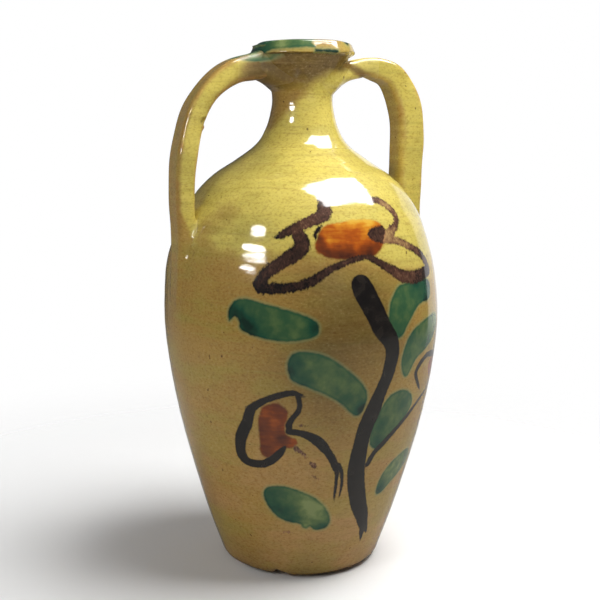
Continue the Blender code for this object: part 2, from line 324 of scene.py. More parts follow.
def paint_lines(paint):
    """Near-black lines: the stem with its forked foot, its branch, and the buds."""
    paint.stroke([(-2.6, 219, 14.5), (-1.5, 215, 16), (0.4, 209, 15.8), (3.2, 200, 15.4), (6.2, 190, 14.8),
                  (10.2, 181, 13.2), (11.6, 173, 12.6), (11.2, 165, 12), (9.8, 155, 11), (7.3, 145, 10.8),
                  (4.8, 133, 12.8), (2, 120, 12.6), (1.1, 110, 12.2), (0.6, 100, 13.2), (0.6, 90, 13.8),
                  (1.6, 80, 13.8), (3.6, 70, 13.6), (6.2, 60, 13), (10.1, 50, 11.2), (13, 41, 8)])
    paint.stroke([(12.2, 42, 5), (13.6, 34, 4.2), (14.7, 26, 0.6)])
    paint.stroke([(14, 43, 5), (16, 37, 4), (18, 32.5, 0.8)])
    paint.stroke([(6.4, 92, 4.4), (7.7, 97, 4.6), (9.5, 101, 4.4), (12.3, 104.5, 4.8), (17.3, 111, 4.4), (21, 115.5, 4),
                  (28, 123.3, 3.5), (34.5, 129.8, 3), (40, 133, 2.6), (48, 137, 2.6), (56, 144, 3)])
    paint.stroke([(-24.5, 146, 1), (-27, 147.5, 3.2), (-30, 148.3, 4.3), (-35, 146.2, 4.6), (-40.4, 142.3, 4.6),
                  (-44.9, 137.7, 6), (-47.2, 133, 7.2), (-48.7, 125.3, 8.4), (-50.6, 119.5, 9), (-52.4, 113.5, 9.1),
                  (-53.4, 106, 8.4), (-53.2, 100.5, 7.8), (-51.6, 96.6, 7), (-48.5, 94.8, 6.5), (-43.6, 95, 6.2),
                  (-40.8, 96.8, 6), (-37.8, 100, 6), (-35, 104.5, 5.3), (-32.8, 109, 2.6)])
    paint.stroke([(-49.3, 136.3, 1), (-47, 135.5, 3)])
    paint.stroke([(-27.6, 147, 3), (-26.8, 143, 3.6), (-26.6, 139, 3.6), (-27.4, 134.6, 3.7), (-29.4, 130.5, 4),
                  (-30.8, 126, 4.6), (-30.8, 121, 4.6)])
    paint.stroke([(-31, 120.6, 4.6), (-27.3, 120, 4.9), (-24.4, 118.7, 5.6), (-21.5, 116.6, 6.6), (-18.7, 113.4, 7.6),
                  (-16.4, 109.5, 7.2), (-14, 104.5, 5.8), (-11.6, 98.5, 5.6), (-9.6, 92, 5.6)])
    paint.stroke([(-10.2, 96, 3.2), (-9.2, 88, 3), (-8.9, 80, 2.5), (-9, 72, 2), (-8.7, 65, 0.6)])
    paint.stroke([(-8.6, 95, 3), (-6.9, 89, 2.8), (-6.1, 82, 2.4), (-6, 75, 2), (-6.6, 68, 0.8)])
    paint.stroke([(55, 157, 3), (50, 160.5, 4), (43.8, 162, 4.6), (40.3, 163, 4.6), (36.5, 163, 4.2), (32.6, 160.5, 4.2),
                  (29.8, 157.4, 4.6), (28.4, 153, 4.2), (29.9, 147.8, 3.6), (32, 143.5, 3.2), (35.2, 138, 0.8)])
    paint.stroke([(55, 157, 3), (59, 152, 4.4), (59, 146, 4.2), (56, 144, 3)])


def paint_smears(paint):
    """Thin reddish smears beside the lower bud."""
    paint.stroke([(-28.6, 110, 2.2), (-27.4, 107.5, 4.2), (-25.8, 105.5, 2.4), (-23.6, 102, 1.6)], 0.3)
    paint.stroke([(-22, 97.4, 2), (-20.5, 96, 3.6), (-19.6, 94, 3)], 0.42)
    paint.stroke([(-20.5, 87.5, 0.8), (-19, 86, 1.4), (-17.5, 84.5, 0.8)], 0.3)
    paint.stroke([(-26.5, 125, 0.8), (-25, 125.2, 1.6), (-23.2, 125, 0.8)], 0.35)
    paint.stroke([(-35, 41, 1.2), (-32.5, 41.5, 2), (-30, 41, 1)], 0.1)


def paint_leaves(paint):
    """Green leaves, each one press of a loaded brush, darkest where the brush landed and lifted."""
    paint.patch([(-55, 199), (-54.5, 203.5), (-52.5, 208), (-49, 210.2), (-44.5, 209.4), (-38, 206.8), (-30, 203.4),
                 (-24, 200), (-20.5, 196.6), (-19.4, 192.5), (-20.4, 187.4), (-25, 184.6), (-32, 183.3), (-40, 184.6),
                 (-46, 187), (-49.6, 190), (-50.2, 195), (-52, 198), (-54.4, 194.5)], 0.38,
                [(-54, 201, 8, 0.5), (-48, 193, 8, 0.4), (-44, 188, 7, 0.4), (-21, 192, 4.5, 0.6), (-47, 194, 3, 0.3)])
    paint.patch([(-31.4, 166), (-30.6, 172), (-28.5, 176), (-23, 176.6), (-17, 174), (-11, 167.4), (-5, 159), (-1, 152),
                 (1, 145.5), (1, 139.5), (-0.6, 132.4), (-3, 130.2), (-6, 133.5), (-10, 140), (-16, 146.5),
                 (-23, 152), (-29.5, 157)], 0.32,
                [(-29, 170, 7, 0.35), (-30, 161, 6, 0.3), (-25, 156, 6, 0.25), (-1, 134, 6, 0.6), (-10, 143, 5, 0.2)])
    paint.patch([(-44.6, 69), (-43.6, 75), (-41, 77.8), (-36, 79), (-31, 78), (-25, 74.5), (-20, 71), (-15.5, 65.5),
                 (-12, 59), (-10, 52), (-10.2, 47), (-13, 43.8), (-18, 43.4), (-20.6, 46.5), (-22, 44.8),
                 (-24.6, 45.6), (-26, 48.6), (-32, 49.8), (-38, 53.6), (-42, 60)], 0.3,
                [(-42, 69, 9, 0.35), (-36, 58, 8, 0.4), (-30, 51, 6, 0.3), (-19, 62, 12, -0.3), (-24, 50, 5, -0.1),
                 (-14, 45, 4.5, 0.5), (-12, 52, 4, 0.1)])
    paint.patch([(9.5, 200), (10.5, 207), (13.5, 214), (17, 217.5), (27, 218), (36, 218), (39.5, 214), (38.6, 206.5),
                 (35.5, 202.8), (30.5, 202.8), (26.6, 200.8), (22.6, 195.4), (19, 188.5), (16, 182.5), (12.5, 182),
                 (9, 190)], 0.36,
                [(34, 204, 4.5, 0.5), (32, 212, 8, 0.3), (26, 217, 6, 0.4), (38, 214, 5, 0.5), (14, 186, 6, 0.25)])
    paint.patch([(42, 192), (36, 191.2), (29, 189), (24, 186), (20.6, 181.5), (18.2, 174), (17, 166), (17.4, 160),
                 (19.4, 153.8), (21.8, 153), (24, 157.6), (27, 163.8), (33, 168), (40, 172.6), (46, 180),
                 (48, 188)], 0.3,
                [(22, 182, 5, 0.3), (36, 171, 6, 0.3), (19, 172, 6, 0.2), (44, 188, 7, -0.15)])
    paint.patch([(5, 114), (5.6, 107), (8.6, 103), (11, 102.4), (15, 108.5), (20, 115.2), (24, 120.4), (27.5, 126),
                 (29, 131.6), (27.6, 136.8), (24.6, 140.8), (20, 143.6), (15.6, 143), (12, 140.4), (8, 131),
                 (5.6, 121)], 0.3, [(10, 107, 6, 0.35), (10, 119, 7, 0.25), (22, 134, 7, 0.15)])
    paint.patch([(16, 70), (17, 77.6), (20, 84.4), (24, 88.6), (30, 92), (36, 93), (41, 90), (42, 83), (38, 78),
                 (32, 74), (26, 69.8), (21, 65), (17.4, 64.4)], 0.16,
                [(18.5, 67.5, 5.5, 0.5), (20, 74, 6, 0.15), (38, 88, 7, 0.2)])
    # Past the edge of the front, the spray ends in three more leaves.
    paint.patch([(60, 205), (70, 208), (82, 203), (90, 193), (86, 188), (74, 190), (63, 197)], 0.35,
                [(63, 202, 8, 0.5), (88, 191, 7, 0.5)])
    paint.patch([(62, 120), (72, 124), (84, 119), (90, 108), (84, 103), (72, 106), (64, 112)], 0.3,
                [(66, 117, 8, 0.5), (87, 107, 7, 0.5)])
    paint.patch([(54, 66), (62, 72), (74, 70), (84, 60), (80, 53), (68, 54), (58, 58)], 0.3,
                [(58, 63, 8, 0.4), (80, 57, 7, 0.5)])


def paint_centres(paint):
    """Orange centres of the flower and the buds."""
    paint.patch([(-20.8, 246), (-20, 241), (-16, 237.4), (-11, 235.6), (-3, 236), (4, 236.6), (8.6, 241.5), (11, 246),
                 (12.4, 251), (11.4, 257), (8.6, 259.8), (2, 261.2), (-4, 260.8), (-9, 259.4), (-14, 258.4),
                 (-17.4, 256.4), (-19.6, 251)], 0.36,
                [(-16, 239.5, 7, 0.6), (-8, 237.5, 7, 0.6), (2, 238, 7, 0.6), (8, 240, 6, 0.3), (-19.5, 250, 4, 0.5), (-3, 251, 6, 0.12),
                 (-15, 246, 4, -0.2), (-10, 258, 4, -0.15), (-3, 260, 5, -0.4), (5, 260, 5, -0.45), (1, 247, 4, -0.1)])
    paint.patch([(-44, 105), (-42.6, 101.4), (-40.6, 100.6), (-37.4, 103.6), (-33.6, 107.4), (-29.6, 109),
                 (-27.4, 111.4), (-28, 115), (-31.6, 118.2), (-32.8, 122.6), (-32, 128), (-31.4, 132.4),
                 (-31.4, 136.4), (-33.6, 139.8), (-36.6, 141), (-39.4, 139.8), (-42, 136), (-43.3, 129),
                 (-43.8, 121), (-43.9, 112)], 0.68,
                [(-36, 126, 7, -0.2), (-42.5, 120, 4, 0.2), (-42, 105, 4, 0.05), (-34, 116, 5, 0.3), (-36, 137, 5, 0.1),
                 (-30, 112, 4, -0.15)])
    paint.patch([(42, 157), (46, 159), (52, 157), (56, 153), (56, 148), (51, 144), (45, 146), (42, 151)], 0.45,
                [(50, 150, 8, 0.25)])


# Where the glaze is tan rather than yellow, and where it is darkened: (azimuth, height, radius, amount) dabs.
TAN_DABS = [
    (-62, 262, 15, 0.55), (-75, 252, 12, 0.5), (-50, 246, 9, -0.5), (-62, 246, 8, -0.35),
    (40, 236, 30, -0.5), (20, 240, 24, -0.45), (-30, 300, 30, -0.2), (-12, 228, 9, 0.2),
    (150, 250, 30, 0.5), (110, 190, 40, 0.3), (-150, 180, 45, -0.25),
]
# The first two darkening dabs are painted shade in the crevice under the lip's right end. The next six darken the
# belly's middle, part stains and part painted shade. The rest darken the glaze in patches.
STAIN_AND_SHADE_DABS = [
    (50, 366, 9, 1.0), (22, 367, 7, 0.5), (0, 205, 30, 0.50), (-16, 192, 32, 0.42), (8, 175, 26, 0.35), (-22, 168, 26, 0.34), (-16, 145, 26, 0.36),
    (-10, 122, 22, 0.16), (-100, 205, 26, 0.2), (-22, 228, 14, 0.25),
    (-60, 10, 20, 0.25), (-20, 8, 20, 0.25), (-95, 60, 30, 0.15), (170, 120, 40, 0.3), (-160, 60, 30, 0.25),
]


def dabs_at(azimuth, height, dabs):
    """Sum of soft dabs on the wall."""
    total = np.zeros(len(azimuth))
    for middle, level, radius, amount in dabs:
        turn = np.radians((azimuth - middle + 180.0) % 360.0 - 180.0)
        away = np.hypot(turn * outer_radius(height), climb(height) - climb(level))
        total += amount * np.exp(-((away / radius) ** 2))
    return total


def wall_tone(azimuth, height):
    """How tan and how dark the glaze is, each from 0 to 1. Dabs give stains and some painted shade, a band of painted
    shade under the lip makes the neck's top tan and dark, and the glaze darkens towards the foot.
    """
    height = np.clip(height, 0.0, HEIGHT)
    azimuth = (azimuth + 180.0) % 360.0 - 180.0
    tan = np.interp(height, (226, 252), (1.0, 0.0)) + dabs_at(azimuth, height, TAN_DABS)
    stain_and_shade = dabs_at(azimuth, height, STAIN_AND_SHADE_DABS)
    # Painted shade under the lip's overhang: tan and dark down to this line, darkest just under the lip.
    rim_shade_line = np.interp(azimuth, (-180, -120, -85, -60, -40, -25, -5, 20, 60, 120, 180),
                          (338, 322, 312, 325, 334, 340, 348, 356, 358, 345, 338))
    rim_shade_tan = np.clip((height - rim_shade_line + 8.0) / 20.0, 0.0, 1.0)
    rim_shade = np.clip((height - rim_shade_line) / 9.0, 0.0, 1.0) * np.interp(height, (345.0, 357.0), (0.35, 1.0))
    rim_shade = rim_shade + 0.7 * np.clip((height - 367.6) / 1.4, 0.0, 1.0)
    foot = 0.45 * np.clip((9.0 - height) / 8.0, 0.0, 1.0)
    return np.clip(tan + 0.95 * rim_shade_tan, 0.0, 1.0), np.clip(stain_and_shade + 0.95 * rim_shade + foot, 0.0, 1.0)


def wall_paint(azimuth, height):
    """Every painted mark on the wall, as attributes for its points."""
    azimuth, height = azimuth - PAINT_SHIFT[0], height - PAINT_SHIFT[1]
    colours = {name: Paint(azimuth, height) for name in ("flower", "line", "leaf", "centre")}
    paint_flower(colours["flower"])
    paint_smears(colours["flower"])
    paint_lines(colours["line"])
    paint_leaves(colours["leaf"])
    paint_centres(colours["centre"])
    return colours


# --- The jar's pieces ------------------------------------------------------------------------------------------


def set_attribute(piece, name, values):
    attribute = piece.data.attributes.new(name, "FLOAT", "POINT")
    attribute.data.foreach_set("value", np.asarray(values, np.float32))


def piece_points(piece):
    co = np.empty(len(piece.data.vertices) * 3, np.float32)
    piece.data.vertices.foreach_get("co", co)
    return co.reshape(-1, 3).astype(float) / MM


def dress(piece, node, finish, paints=None, bare=None, edge=None, green=None, tone=None, dull=None):
    """Gives a piece its paint, its finish, and its place in the frame. It stands for one CAD node."""
    x, y, z = piece_points(piece).T
    count = len(x)
    for name in ("flower", "line", "leaf", "centre"):
        gap = np.full(count, FAR) if paints is None else paints[name].gap
        load = np.zeros(count) if paints is None else paints[name].load
        if name == "leaf" and green is not None:
            load = np.where(green[0] < gap, green[1], load)
            gap = np.minimum(gap, green[0])
        set_attribute(piece, name, gap)
        set_attribute(piece, name + "_load", load)
    tan, stain_and_shade = wall_tone(np.degrees(np.arctan2(x, -y)), z) if tone is None else tone
    set_attribute(piece, "tan", tan)
    set_attribute(piece, "stain_and_shade", stain_and_shade)
    set_attribute(piece, "dull", np.zeros(count) if dull is None else dull)
    set_attribute(piece, "bare", np.zeros(count) if bare is None else bare)
    set_attribute(piece, "edge", np.zeros(count) if edge is None else edge)
    piece.data.materials.append(finish)
    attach(piece, "root")
    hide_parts(node)
    return piece


def wall_piece(name, node, low, high, columns, step, finish):
    piece = thrown_wall(name, low, high, columns, step)
    x, y, z = piece_points(piece).T
    reach = np.hypot(x, y)
    azimuth = np.degrees(np.arctan2(x, -y))
    outside = reach > (outer_radius(z) + inner_radius(z)) / 2
    paints = wall_paint(np.where(outside, azimuth, 180.0), np.where(outside, z, 0.0))
    return dress(piece, node, finish, paints, bare=np.where(outside, 0.0, 1.0))


def base_piece(finish):
    """The foot: a flat disc with a worn edge, chipped at the front."""
    rim = [(48.5, 0.0), (51.5, 0.35), (54.4, 1.2), (56.8, 2.5), (58.5, 4.0), (59.6, 5.7), (60.3, 7.4)]
    rows = [(r, 0.0) for r in np.linspace(2.0, 46.5, 26)] + rim
    wall = [(outer_radius(BASE_THICKNESS), BASE_THICKNESS)]
    top = [tuple(p) for p in seam(BASE_THICKNESS, None)[::-1]]
    across = [(r, BASE_THICKNESS) for r in (40.0, 20.0, 2.0)]
    outline = np.array(rows + wall + top + across)

    def shape(azimuth, points):
        shaped = points.copy()
        radius, height = points.T
        turn = math.radians(azimuth)
        chip = np.exp(-(((azimuth + 42.0) / 3.4) ** 2)) + 0.4 * np.exp(-(((azimuth + 36.5) / 1.6) ** 2))
        low_edge = np.clip((radius - 44.0) / 6.0, 0, 1) * np.clip((7.0 - height) / 5.0, 0, 1)
        shaped[:, 0] -= low_edge * (3.0 * chip + 0.35 * math.sin(9 * turn) * math.sin(4 * turn + 1))
        shaped[:, 1] += low_edge * 1.7 * chip
        return shaped

    piece = lathe("foot", outline, 480, shape)
    cap_poles(piece, len(outline), 480)
    x, y, z = piece_points(piece).T
    reach = np.hypot(x, y)
    ragged = 1.0 * np.sin(7 * np.arctan2(x, y) + 1.0) + 0.7 * np.sin(17 * np.arctan2(x, y))
    bare = np.clip((1.6 + 0.6 * ragged - z) / 1.2, 0, 1) + (reach < 50) * (z > 5)
    return dress(piece, "base_disc", finish, bare=np.clip(bare, 0, 1))


def cap_poles(piece, rows, columns):
    """Fills the small round holes that a disc's turned outline leaves at the axis, above and below."""
    import bmesh

    mesh = bmesh.new()
    mesh.from_mesh(piece.data)
    mesh.verts.ensure_lookup_table()
    between = {(rows - 1) * columns + i for i in range(columns)} | set(range(columns))
    tube = [f for f in mesh.faces if all(v.index in between for v in f.verts)]
    bmesh.ops.delete(mesh, geom=tube, context="FACES_ONLY")
    bottom = [mesh.verts[i] for i in range(columns)]
    top = [mesh.verts[(rows - 1) * columns + i] for i in range(columns)]
    mesh.faces.new(bottom[::-1])
    mesh.faces.new(top)
    bmesh.ops.recalc_face_normals(mesh, faces=mesh.faces)
    mesh.to_mesh(piece.data)
    mesh.free()


def lip_piece(finish):
    """The lip: square-edged on the right, worn down to a bevel on the left, and a little tilted."""
    lip = LIP_RADIUS
    neck_outer, neck_inner = float(outer_radius(LIP_UNDERSIDE)), float(inner_radius(LIP_UNDERSIDE))
    corners = [
        (neck_outer + 0.4, LIP_UNDERSIDE), (lip - 2.4, LIP_UNDERSIDE + 0.1), (lip - 0.7, LIP_UNDERSIDE + 0.5),
        (lip - 0.1, LIP_UNDERSIDE + 1.2), (lip - 0.8, LIP_UNDERSIDE + 3.4), (lip - 1.7, LIP_UNDERSIDE + 5.6),
        (lip - 2.6, HEIGHT - 2.6), (lip - 3.4, HEIGHT - 1.1), (lip - 5.0, HEIGHT - 0.3), (lip - 8.0, HEIGHT),
        (29.0, HEIGHT - 0.5), (27.4, HEIGHT - 1.8), (26.6, HEIGHT - 4.5), (26.9, HEIGHT - 7.5),
        (neck_inner, LIP_UNDERSIDE),
    ]
    outline = open_curve(corners, 6)
    outline = np.concatenate([outline, seam(LIP_UNDERSIDE, None)])

    def shape(azimuth, points):
        shaped = points.copy()
        radius, height = points.T
        turn = math.radians(azimuth)
        left = math.exp(-((((azimuth + 118.0 + 180) % 360 - 180) / 42.0) ** 2))
        upper = np.clip((height - LIP_UNDERSIDE - 1.0) / 9.0, 0, 1)
        outer = np.clip((radius - 28.0) / 4.0, 0, 1)
        shaped[:, 0] -= left * outer * 3.6 * upper**3
        right = math.exp(-((((azimuth - 52.0 + 180) % 360 - 180) / 34.0) ** 2))
        lower = np.clip((LIP_UNDERSIDE + 5.0 - height) / 5.0, 0, 1) * np.clip((radius - 34.0) / 3.5, 0, 1)
        shaped[:, 1] += right * lower * 3.0
        shaped[:, 0] -= right * lower * 1.2
        shaped[:, 1] += upper * (0.14 * math.sin(3 * turn + 1) + 0.08 * math.sin(7 * turn) - 0.26)
        shaped[:, 0] += outer * (0.20 * math.sin(2 * turn + 2) + 0.15 * math.sin(5 * turn) - 0.35)
        return shaped

    piece = lathe("lip", outline, 360, shape)
    x, y, z = piece_points(piece).T
    tan, stain_and_shade = wall_tone(np.degrees(np.arctan2(x, -y)), z)
    # The lip keeps the full painted shade and stains on its underside, and a quarter of them above.
    return dress(piece, "rim_ring", finish, green=lip_green(x, y, z), tone=(tan * 0.7, np.where(z < LIP_UNDERSIDE + 1.0, stain_and_shade, stain_and_shade * 0.25)))


def lip_green(x, y, z):
    """Green slip on the lip: the whole left side, the upper half of the middle, and a line and a dab on the right."""
    level = z - LIP_UNDERSIDE
    off = (np.degrees(np.arctan2(x, -y)) - FRONT + 180.0) % 360.0 - 180.0
    lower_edge = np.interp(off, (-58, -44, -34, -10, 10), (-6.0, 0.5, 3.0, 3.7, 4.2))
    wash = np.maximum(lower_edge - level, np.maximum(off - 11.0 + 2.0 * np.sin(level * 1.1), -150.0 - off) * 0.6)
    line = np.maximum(np.abs(level - 2.0) - 1.0, np.abs(off - 26.0) * 0.62 - 8.4)
    dab = np.hypot((off - 60.0) * 0.4, level - 9.2) - 1.8
    behind = np.maximum(np.maximum(4.0 - level, 126.0 - off), np.abs(off - 170.0) * 0.6 - 26.0)
    gap = np.minimum(np.minimum(wash, line), np.minimum(dab, behind))
    load = np.interp(off, (-110, -60, -38, -24, -14, 2, 12, 13, 30), (0.8, 0.7, 0.5, -0.1, 0.30, 0.36, 0.1, 0.95, 0.95))
    return gap, load


# Each strap's centreline as (distance from the axis, height, thickness, width), from the neck to the belly.
LEFT_STRAP = [
    (24.0, 361.5, 17.0, 27.0), (32.0, 362.5, 16.8, 24.0), (40.0, 361.8, 18.4, 22.4), (54.0, 358.5, 16.8, 21.8),
    (66.0, 351.7, 15.4, 21.4), (76.4, 341.6, 14.6, 21.4), (84.4, 328.6, 14.8, 21.6), (89.4, 312.0, 14.8, 21.8),
    (92.8, 292.0, 14.2, 22.0), (93.7, 270.0, 13.6, 22.0), (93.0, 250.0, 13.4, 22.0), (92.6, 238.0, 13.4, 21.6),
    (92.9, 226.0, 13.6, 20.5), (93.4, 214.0, 13.4, 18.6), (94.4, 202.0, 12.6, 16.0), (95.4, 192.0, 11.0, 12.0),
]
RIGHT_STRAP = [
    (22.0, 361.2, 9.0, 26.0), (30.0, 361.4, 9.6, 25.0), (36.5, 362.8, 11.4, 24.4), (43.0, 364.2, 12.6, 24.0),
    (49.0, 364.8, 13.2, 23.6), (58.0, 363.6, 15.4, 23.4), (70.2, 359.0, 17.0, 23.2), (78.7, 347.4, 19.0, 23.2),
    (84.0, 333.0, 20.6, 23.4), (85.8, 315.0, 21.2, 23.8), (85.3, 295.0, 20.8, 23.8), (84.8, 270.0, 19.0, 23.6),
    (86.0, 250.0, 17.0, 23.2), (87.8, 238.0, 15.2, 22.5), (88.2, 227.0, 13.4, 21.0), (87.2, 217.0, 11.0, 18.0),
]
LEFT_AZIMUTH = 181.5
RIGHT_AZIMUTH = -3.5
STRAP_STEP = 1.1
STRAP_POINTS = 72
SQUARENESS = 4.6


def strap_frame(stations):
    """Evenly spaced centreline places, with their thickness, width, and outward direction in the strap's plane."""
    fine = open_curve(stations, 24)
    lengths = np.concatenate([[0.0], np.cumsum(np.hypot(*np.diff(fine[:, :2], axis=0).T))])
    at = np.linspace(0.0, lengths[-1], int(lengths[-1] / STRAP_STEP))
    line = np.stack([np.interp(at, lengths, column) for column in fine.T], -1)
    along = np.gradient(line[:, :2], axis=0)
    along /= np.linalg.norm(along, axis=1)[:, None]
    return at, line, np.stack([-along[:, 1], along[:, 0]], -1)


def power(value, exponent):
    return np.sign(value) * np.abs(value) ** exponent


def turned_to(azimuth):
    """Matrix that takes (distance from the axis, across, height) at this azimuth from +X to the frame."""
    c, s = math.cos(math.radians(azimuth)), math.sin(math.radians(azimuth))
    return np.array([[c, s, 0], [-s, c, 0], [0, 0, 1]])


def strap_piece(name, node, stations, azimuth, fillet, finish, shaded_side, chips=(), green=None):
    """A pulled strap: rounded-rectangle rings that spread into a fillet where they meet the jar."""
    at, line, out = strap_frame(stations)
    turn = np.linspace(0.0, 2 * np.pi, STRAP_POINTS, endpoint=False)
    bulge = power(np.cos(turn), 2 / SQUARENESS)[None, :]
    side = power(np.sin(turn), 2 / SQUARENESS)[None, :]
    wander = 1.0 + 0.020 * np.sin(at / 13.0 + azimuth)[:, None] + 0.012 * np.sin(at / 5.1)[:, None]
    outward = line[:, 2:3] / 2 * bulge * wander
    sideways = line[:, 3:4] / 2 * side * wander
    outward = outward - 0.35 * (bulge > 0) * np.exp(-((side / 0.35) ** 2))
    reach = line[:, :1] + outward * out[:, :1]
    height = line[:, 1:2] + outward * out[:, 1:]
    local = np.stack([reach, sideways, height], -1)
    centre = np.stack([line[:, 0], np.zeros(len(line)), line[:, 1]], -1)[:, None]
    spread = local - centre
    spread /= np.maximum(np.linalg.norm(spread, axis=-1, keepdims=True), 1e-6)
    turned = turned_to(azimuth)
    points = (local @ turned).reshape(-1, 3)
    spread = (spread @ turned).reshape(-1, 3)
    gap, normal = pot_gap(points)
    radius = np.where(points[:, 2] > 300.0, fillet[0], fillet[1])
    short = np.clip(radius - np.maximum(gap, 0.0), 0.0, None)
    flare = radius - np.sqrt(np.maximum(radius**2 - short**2, 0.0))
    tangent = spread - (spread * normal).sum(1, keepdims=True) * normal
    points += tangent * flare[:, None]
    for place, size, depth in chips:
        dent = np.exp(-((((points - np.array(place) @ turned) / np.array(size)) ** 2).sum(1)) ** 2)
        points -= spread * (depth * dent)[:, None]
    rings = len(at)
    faces = ring_faces(rings, STRAP_POINTS, closed=False)
    faces = [face[::-1] for face in faces]
    faces.append(list(range(STRAP_POINTS)))
    faces.append([(rings - 1) * STRAP_POINTS + i for i in range(STRAP_POINTS)][::-1])
    piece = add_piece(name, points, faces)
    trim_to_pot(piece)
    points = piece_points(piece)
    outward, sideways, along = strap_shares(points, line, out, turned)
    edge = np.clip((np.abs(outward * sideways) - 0.55) / 0.25, 0.0, 1.0) * np.clip(pot_gap(points)[0] / 6.0, 0.0, 1.0)
    painted = None if green is None else green(points)
    tan, stain_and_shade = strap_tone(points, outward, along, shaded_side)
    # Painted shade: each chip's dent is darkened.
    for place, size, _ in chips:
        chip_shade = np.exp(-(((points - np.array(place) @ turned) ** 2).sum(1)) / (0.8 * max(size)) ** 2)
        stain_and_shade = np.maximum(stain_and_shade, 1.3 * chip_shade)
    tone = tan, stain_and_shade
    return dress(piece, node, finish, edge=edge, green=painted, tone=tone, dull=crease_dull(points))


def strap_shares(points, line, out, turned):
    """Where each point lies in the strap: outward and sideways from -1 to 1, and along it from 0 to 1."""
    local = points @ turned.T
    plane = local[:, [0, 2]]
    nearest = np.concatenate(
        [np.linalg.norm(part[:, None] - line[None, :, :2], axis=-1).argmin(1) for part in np.array_split(plane, 24)]
    )
    outward = ((plane - line[nearest, :2]) * out[nearest]).sum(1) / (line[nearest, 2] / 2)
    sideways = local[:, 1] / (line[nearest, 3] / 2)
    return outward, sideways, nearest / len(line)


def joint_shade_tone(points):
    """Painted shade where the straps are luted on, tan and brown: all round on the left under the strap's root, and
    along the crease under the strap's edge on the right.
    """
    x, y, z = points.T
    reach = np.hypot(x, y)
    tan, stain_and_shade = wall_tone(np.degrees(np.arctan2(x, -y)), z)
    left = np.clip((61.0 - reach + (z - 356.0) * -0.6) / 13.0, 0.0, 1.0) * np.clip((z - 322.0) / 12.0, 0.0, 1.0) * (x < 0)
    right = np.exp(-(((z - 364.0 + (reach - 34.0) * 0.5) / 3.2) ** 2)) * np.clip((54.0 - reach) / 10.0, 0, 1)
    right = right * np.clip((reach - 24.0) / 6.0, 0.0, 1.0) * (x > 0)
    return np.maximum(left * 0.95, right * 0.9), np.maximum(left * 0.95, right * 0.8), tan, stain_and_shade


def crease_dull(points):
    """The glaze is less shiny where the straps are luted on."""
    x, y, z = points.T
    reach = np.hypot(x, y)
    near = np.clip((62.0 - reach) / 10.0, 0.0, 1.0) * np.clip(pot_gap(points)[0] / 8.0, 0.0, 1.0)
    return np.where(x > 0, 0.5, 0.55) * near


def strap_tone(points, outward, along, shaded_side):
    """Straps are yellow on their flanks. Painted shade makes the broad face turned from the light tan and darkens the
    left strap's underside near the neck, over the joints' painted shade. They turn into the wall's tone at its surface.
    """
    joint_shade_tan, joint_shade, wall_tan, wall_stain_and_shade = joint_shade_tone(points)
    gap, _ = pot_gap(points)
    blend = np.clip(gap / 3.0, 0.0, 1.0)
    blend = np.where(points[:, 2] < 280.0, np.maximum(blend, np.clip((points[:, 2] - 226.0) / 8.0, 0.0, 1.0)), blend)
    begins = np.where(points[:, 0] < 0, np.interp(points[:, 2], (236.0, 264.0), (-1.3, 0.45)), 0.45)
    # Painted shade: the broad face on the shaded side turns tan.
    face = np.clip((outward * shaded_side - begins) / 0.5, 0.0, 1.0)
    # Painted shade under the left strap near the neck: tan and darker.
    under = np.clip((-outward * shaded_side - 0.1) / 0.9, 0.0, 1.0) * np.clip((points[:, 2] - 325.0) / 15.0, 0.0, 1.0)
    under = under * (points[:, 0] < 0)
    tan = np.maximum(0.10 + np.where(points[:, 0] < 0, 0.70, 0.45) * face, np.maximum(joint_shade_tan, under))
    stain_and_shade = np.maximum(joint_shade, 0.55 * under)
    return np.clip(wall_tan + (tan - wall_tan) * blend, 0, 1), np.clip(wall_stain_and_shade + (stain_and_shade - wall_stain_and_shade) * blend, 0, 1)


def pot_cutter():
    """The jar's outer skin drawn in by a hair, to trim what is luted onto it."""
    heights = np.linspace(BASE_THICKNESS + 60.0, LIP_UNDERSIDE, 170)
    heights = np.append(heights, LIP_UNDERSIDE + 6.0)
    columns = 240
    azimuths = np.arange(columns) * 360.0 / columns - 180.0
    points = []
    for height in heights:
        radius = wall_radius(azimuths, np.full(columns, min(height, LIP_UNDERSIDE))) - 0.15
        turn = np.radians(azimuths)
        points.append(np.stack([radius * np.sin(turn), -radius * np.cos(turn), np.full(columns, height)], -1))
    faces = ring_faces(len(heights), columns, closed=False)
    faces.append(list(range(columns))[::-1])
    faces.append([(len(heights) - 1) * columns + i for i in range(columns)])
    return add_piece("pot_cutter", np.concatenate(points), faces)


def trim_to_pot(piece):
    """Cuts away what would lie inside the jar's wall."""
    cutter = pot_cutter()
    trim = piece.modifiers.new("trim", "BOOLEAN")
    trim.operation = "DIFFERENCE"
    trim.solver = "EXACT"
    trim.object = cutter
    bpy.context.view_layer.update()
    evaluated = piece.evaluated_get(bpy.context.evaluated_depsgraph_get())
    trimmed = bpy.data.meshes.new_from_object(evaluated)
    piece.modifiers.clear()
    piece.data = trimmed
    trimmed.shade_smooth()
    trimmed.set_sharp_from_angle(angle=math.radians(50))
    bpy.data.objects.remove(cutter)


def handle_green(points):
    """A touch of the lip's green that ran onto the top of the left strap."""
    x, y, z = points.T
    gap = np.hypot((x + 44.0) / 2.4, np.minimum(z - 369.5, 0.0) * 1.4) - 6.6
    return np.where(z > 362.0, gap, FAR), np.full(len(x), 0.3)


